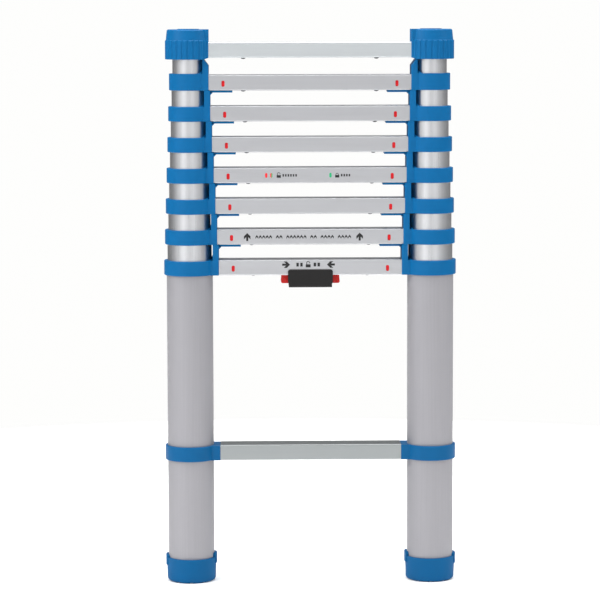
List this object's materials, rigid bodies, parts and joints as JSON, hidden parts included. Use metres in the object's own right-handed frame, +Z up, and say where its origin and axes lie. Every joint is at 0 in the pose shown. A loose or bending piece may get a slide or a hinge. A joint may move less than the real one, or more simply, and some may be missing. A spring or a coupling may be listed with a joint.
{
  "type": "telescopic ladder",
  "caption": "Closed telescopic ladder: two columns of nested aluminium tubes joined by hollow rungs, with blue collars, sliding pin locks, squeeze release and feet.",
  "frame": {"origin": "on the floor, midway between the two columns", "axes": "+Z up along the columns, +X towards the right column, -Y towards the user at the front"},
  "size_m": [0.4584, 0.08, 0.869],
  "materials": {
    "tube_aluminium": "satin anodised",
    "rung_aluminium": "matt anodised",
    "blue_plastic": "fine moulded texture",
    "lock_plastic": "moulded",
    "foot_rubber": "moulded",
    "bush_plastic": "moulded",
    "red_plastic": "moulded",
    "black_plastic": "moulded"
  },
  "bodies": {
    "base": {"tubes_8": "tube_aluminium", "rung_8": "rung_aluminium", "rung_9": "rung_aluminium", "release_guard": "black_plastic", "collar_8_left": "blue_plastic", "collar_8_right": "blue_plastic", "rung_clamp_left": "blue_plastic", "rung_clamp_right": "blue_plastic", "foot_left": "foot_rubber", "foot_right": "foot_rubber"},
    "section_7": {"tubes_7": "tube_aluminium", "guide_bushes_7": "bush_plastic", "rung_7": "rung_aluminium", "collar_7_left": "blue_plastic", "collar_7_right": "blue_plastic"},
    "section_6": {"tubes_6": "tube_aluminium", "guide_bushes_6": "bush_plastic", "rung_6": "rung_aluminium", "collar_6_left": "blue_plastic", "collar_6_right": "blue_plastic"},
    "section_5": {"tubes_5": "tube_aluminium", "guide_bushes_5": "bush_plastic", "rung_5": "rung_aluminium", "collar_5_left": "blue_plastic", "collar_5_right": "blue_plastic"},
    "section_4": {"tubes_4": "tube_aluminium", "guide_bushes_4": "bush_plastic", "rung_4": "rung_aluminium", "collar_4_left": "blue_plastic", "collar_4_right": "blue_plastic"},
    "section_3": {"tubes_3": "tube_aluminium", "guide_bushes_3": "bush_plastic", "rung_3": "rung_aluminium", "collar_3_left": "blue_plastic", "collar_3_right": "blue_plastic"},
    "section_2": {"tubes_2": "tube_aluminium", "guide_bushes_2": "bush_plastic", "rung_2": "rung_aluminium", "collar_2_left": "blue_plastic", "collar_2_right": "blue_plastic"},
    "section_1": {"tubes_1": "tube_aluminium", "guide_bushes_1": "bush_plastic", "rung_1": "rung_aluminium", "end_cap_left": "blue_plastic", "end_cap_right": "blue_plastic"},
    "lock_7_left": {"lock_slide_7_left": "lock_plastic"},
    "lock_7_right": {"lock_slide_7_right": "lock_plastic"},
    "lock_6_left": {"lock_slide_6_left": "lock_plastic"},
    "lock_6_right": {"lock_slide_6_right": "lock_plastic"},
    "lock_5_left": {"lock_slide_5_left": "lock_plastic"},
    "lock_5_right": {"lock_slide_5_right": "lock_plastic"},
    "lock_4_left": {"lock_slide_4_left": "lock_plastic"},
    "lock_4_right": {"lock_slide_4_right": "lock_plastic"},
    "lock_3_left": {"lock_slide_3_left": "lock_plastic"},
    "lock_3_right": {"lock_slide_3_right": "lock_plastic"},
    "lock_2_left": {"lock_slide_2_left": "lock_plastic"},
    "lock_2_right": {"lock_slide_2_right": "lock_plastic"},
    "release_left": {"release_slide_left": "red_plastic"},
    "release_right": {"release_slide_right": "red_plastic"}
  },
  "joints": [
    {"name": "extend_section_7", "type": "slide", "parent": "base", "child": "section_7", "axis": [0, 0, 1], "range_m": [0, 0.244]},
    {"name": "extend_section_6", "type": "slide", "parent": "section_7", "child": "section_6", "axis": [0, 0, 1], "range_m": [0, 0.244]},
    {"name": "extend_section_5", "type": "slide", "parent": "section_6", "child": "section_5", "axis": [0, 0, 1], "range_m": [0, 0.244]},
    {"name": "extend_section_4", "type": "slide", "parent": "section_5", "child": "section_4", "axis": [0, 0, 1], "range_m": [0, 0.244]},
    {"name": "extend_section_3", "type": "slide", "parent": "section_4", "child": "section_3", "axis": [0, 0, 1], "range_m": [0, 0.244]},
    {"name": "extend_section_2", "type": "slide", "parent": "section_3", "child": "section_2", "axis": [0, 0, 1], "range_m": [0, 0.244]},
    {"name": "extend_section_1", "type": "slide", "parent": "section_2", "child": "section_1", "axis": [0, 0, 1], "range_m": [0, 0.2415]},
    {"name": "lock_section_7_left", "type": "slide", "parent": "section_7", "child": "lock_7_left", "axis": [-1, 0, 0], "range_m": [0, 0.006]},
    {"name": "lock_section_7_right", "type": "slide", "parent": "section_7", "child": "lock_7_right", "axis": [1, 0, 0], "range_m": [0, 0.006]},
    {"name": "lock_section_6_left", "type": "slide", "parent": "section_6", "child": "lock_6_left", "axis": [-1, 0, 0], "range_m": [0, 0.006]},
    {"name": "lock_section_6_right", "type": "slide", "parent": "section_6", "child": "lock_6_right", "axis": [1, 0, 0], "range_m": [0, 0.006]},
    {"name": "lock_section_5_left", "type": "slide", "parent": "section_5", "child": "lock_5_left", "axis": [-1, 0, 0], "range_m": [0, 0.006]},
    {"name": "lock_section_5_right", "type": "slide", "parent": "section_5", "child": "lock_5_right", "axis": [1, 0, 0], "range_m": [0, 0.006]},
    {"name": "lock_section_4_left", "type": "slide", "parent": "section_4", "child": "lock_4_left", "axis": [-1, 0, 0], "range_m": [0, 0.006]},
    {"name": "lock_section_4_right", "type": "slide", "parent": "section_4", "child": "lock_4_right", "axis": [1, 0, 0], "range_m": [0, 0.006]},
    {"name": "lock_section_3_left", "type": "slide", "parent": "section_3", "child": "lock_3_left", "axis": [-1, 0, 0], "range_m": [0, 0.006]},
    {"name": "lock_section_3_right", "type": "slide", "parent": "section_3", "child": "lock_3_right", "axis": [1, 0, 0], "range_m": [0, 0.006]},
    {"name": "lock_section_2_left", "type": "slide", "parent": "section_2", "child": "lock_2_left", "axis": [-1, 0, 0], "range_m": [0, 0.006]},
    {"name": "lock_section_2_right", "type": "slide", "parent": "section_2", "child": "lock_2_right", "axis": [1, 0, 0], "range_m": [0, 0.006]},
    {"name": "squeeze_release_left", "type": "slide", "parent": "base", "child": "release_left", "axis": [1, 0, 0], "range_m": [0, 0.008], "stiffness_N_per_m": 500, "springref_m": -0.008},
    {"name": "squeeze_release_right", "type": "slide", "parent": "base", "child": "release_right", "axis": [-1, 0, 0], "range_m": [0, 0.008], "stiffness_N_per_m": 500, "springref_m": -0.008}
  ]
}
